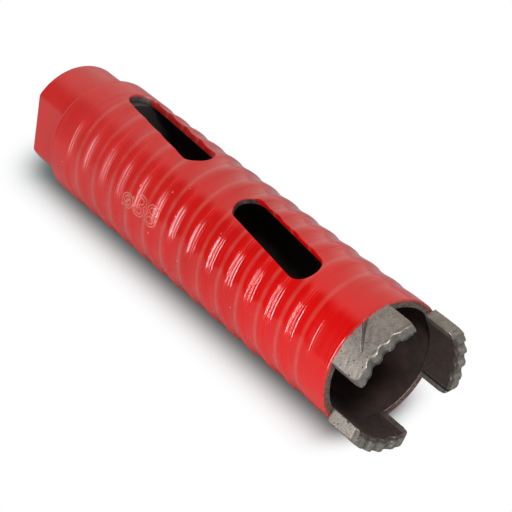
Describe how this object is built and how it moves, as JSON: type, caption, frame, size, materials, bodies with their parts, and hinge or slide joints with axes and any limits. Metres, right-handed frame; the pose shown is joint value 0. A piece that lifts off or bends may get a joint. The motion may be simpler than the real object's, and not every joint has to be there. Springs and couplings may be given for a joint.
{
  "type": "diamond core bit",
  "caption": "Dry diamond core bit: a slotted, spirally fluted steel barrel with scalloped sintered segments on its rim and a threaded hub with wrench flats.",
  "frame": {"origin": "centre of the hub's end face, at the mouth of the drive thread", "axes": "+Z along the tool's axis from the hub towards the cutting crown; +X points between two segments, opposite the middle of the third"},
  "size_m": [0.0372, 0.038, 0.15],
  "materials": {
    "hub_paint": "gloss",
    "barrel_paint": "gloss",
    "sintered_metal": "matt"
  },
  "bodies": {
    "root": {"hub": "hub_paint", "barrel": "barrel_paint", "segment_1": "sintered_metal", "segment_2": "sintered_metal", "segment_3": "sintered_metal"}
  },
  "joints": []
}
